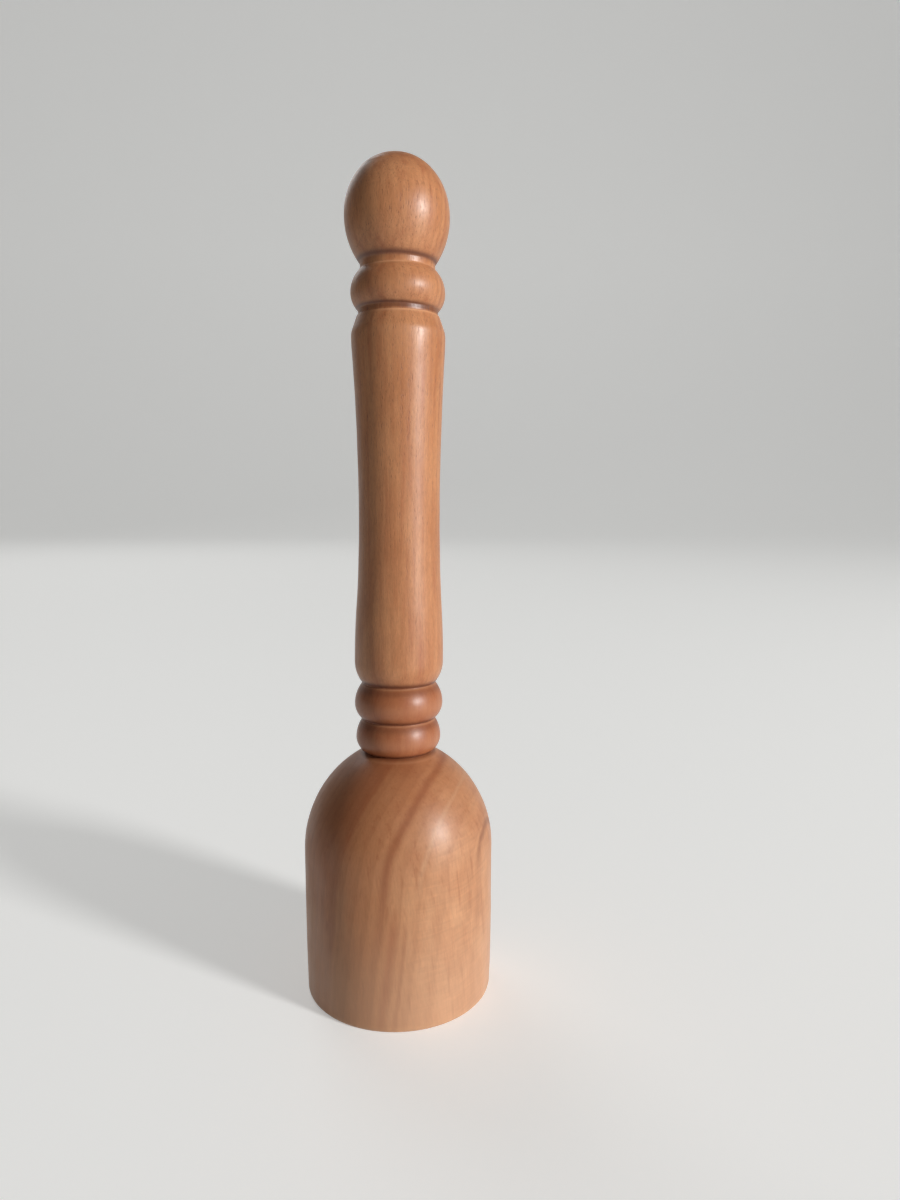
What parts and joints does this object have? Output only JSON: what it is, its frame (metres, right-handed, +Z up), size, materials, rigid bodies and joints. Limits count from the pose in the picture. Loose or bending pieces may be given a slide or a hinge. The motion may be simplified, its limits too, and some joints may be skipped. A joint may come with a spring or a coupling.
{
  "type": "meat masher",
  "caption": "Turned wooden meat masher: a domed cylindrical head with a flat mashing face, and a long waisted handle with beads and an egg-shaped knob.",
  "frame": {"origin": "centre of the flat mashing face, on the surface that the masher stands on", "axes": "+Z up along the turning axis, from the mashing face to the knob; the body is round, so +X and +Y are free choices across it"},
  "size_m": [0.07, 0.07, 0.3],
  "materials": {
    "head_wood": "satin varnish over stained hardwood",
    "handle_wood": "satin varnish over stained hardwood"
  },
  "bodies": {
    "root": {"head": "head_wood", "handle": "handle_wood"}
  },
  "joints": []
}
